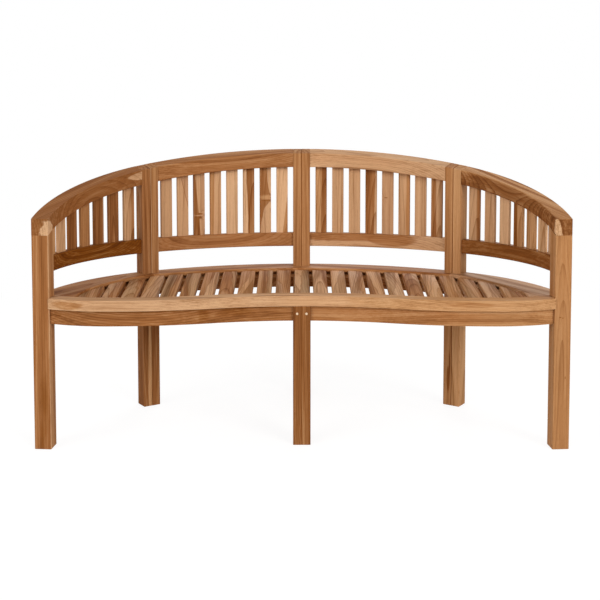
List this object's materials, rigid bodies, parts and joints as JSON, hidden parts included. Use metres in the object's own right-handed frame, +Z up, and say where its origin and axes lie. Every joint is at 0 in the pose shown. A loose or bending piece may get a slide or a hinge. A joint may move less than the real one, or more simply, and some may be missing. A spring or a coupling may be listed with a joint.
{
  "type": "banana bench",
  "caption": "Curved teak garden bench with a slatted seat and a slatted back that wraps round into arms sloping down to the front legs.",
  "frame": {"origin": "on the floor under the middle of the bench's overall box", "axes": "+Z up, the open front faces -Y, +X runs to the right as seen by someone facing the bench"},
  "size_m": [1.5992, 0.6754, 0.87],
  "materials": {
    "leg_teak": "sanded teak, unsealed, satin",
    "post_teak": "sanded teak glued up from two boards, satin",
    "top_rail_teak": "sanded teak with sapwood patches, satin",
    "lower_rail_teak": "darker sanded teak, satin",
    "back_slat_teak": "sanded teak, each slat a different tone, satin",
    "apron_teak": "brown sanded teak, satin",
    "rim_teak": "pale sanded teak, satin",
    "seat_slat_teak": "greyer sanded teak with pale streaks, satin",
    "peg_wood": "pale hardwood end grain"
  },
  "bodies": {
    "root": {"front_leg_left": "leg_teak", "front_leg_right": "leg_teak", "front_leg_centre_board_left": "leg_teak", "front_leg_centre_board_right": "leg_teak", "rear_post_left_board_outer": "post_teak", "rear_post_left_board_inner": "post_teak", "rear_post_centre_board_left": "post_teak", "rear_post_centre_board_right": "post_teak", "rear_post_right_board_inner": "post_teak", "rear_post_right_board_outer": "post_teak", "arm_rail_left": "top_rail_teak", "arm_rail_right": "top_rail_teak", "back_top_rail_left": "top_rail_teak", "back_top_rail_right": "top_rail_teak", "arm_lower_rail_left": "lower_rail_teak", "arm_lower_rail_right": "lower_rail_teak", "back_lower_rail_left": "lower_rail_teak", "back_lower_rail_right": "lower_rail_teak", "arm_slats_left": "back_slat_teak", "arm_slats_right": "back_slat_teak", "back_slats_left": "back_slat_teak", "back_slats_right": "back_slat_teak", "front_apron_left": "apron_teak", "front_apron_right": "apron_teak", "side_apron_left": "apron_teak", "side_apron_right": "apron_teak", "rear_apron_left": "apron_teak", "rear_apron_right": "apron_teak", "seat_centre_bearer": "apron_teak", "seat_front_rim": "rim_teak", "seat_side_rim_left": "rim_teak", "seat_side_rim_right": "rim_teak", "seat_back_rim_left": "rim_teak", "seat_back_rim_right": "rim_teak", "seat_slat_centre": "seat_slat_teak", "seat_slat_left_01": "seat_slat_teak", "seat_slat_left_02": "seat_slat_teak", "seat_slat_left_03": "seat_slat_teak", "seat_slat_left_04": "seat_slat_teak", "seat_slat_left_05": "seat_slat_teak", "seat_slat_left_06": "seat_slat_teak", "seat_slat_left_07": "seat_slat_teak", "seat_slat_left_08": "seat_slat_teak", "seat_slat_left_09": "seat_slat_teak", "seat_slat_left_10": "seat_slat_teak", "seat_slat_left_11": "seat_slat_teak", "seat_slat_right_01": "seat_slat_teak", "seat_slat_right_02": "seat_slat_teak", "seat_slat_right_03": "seat_slat_teak", "seat_slat_right_04": "seat_slat_teak", "seat_slat_right_05": "seat_slat_teak", "seat_slat_right_06": "seat_slat_teak", "seat_slat_right_07": "seat_slat_teak", "seat_slat_right_08": "seat_slat_teak", "seat_slat_right_09": "seat_slat_teak", "seat_slat_right_10": "seat_slat_teak", "seat_slat_right_11": "seat_slat_teak", "tenon_pegs": "peg_wood"}
  },
  "joints": []
}
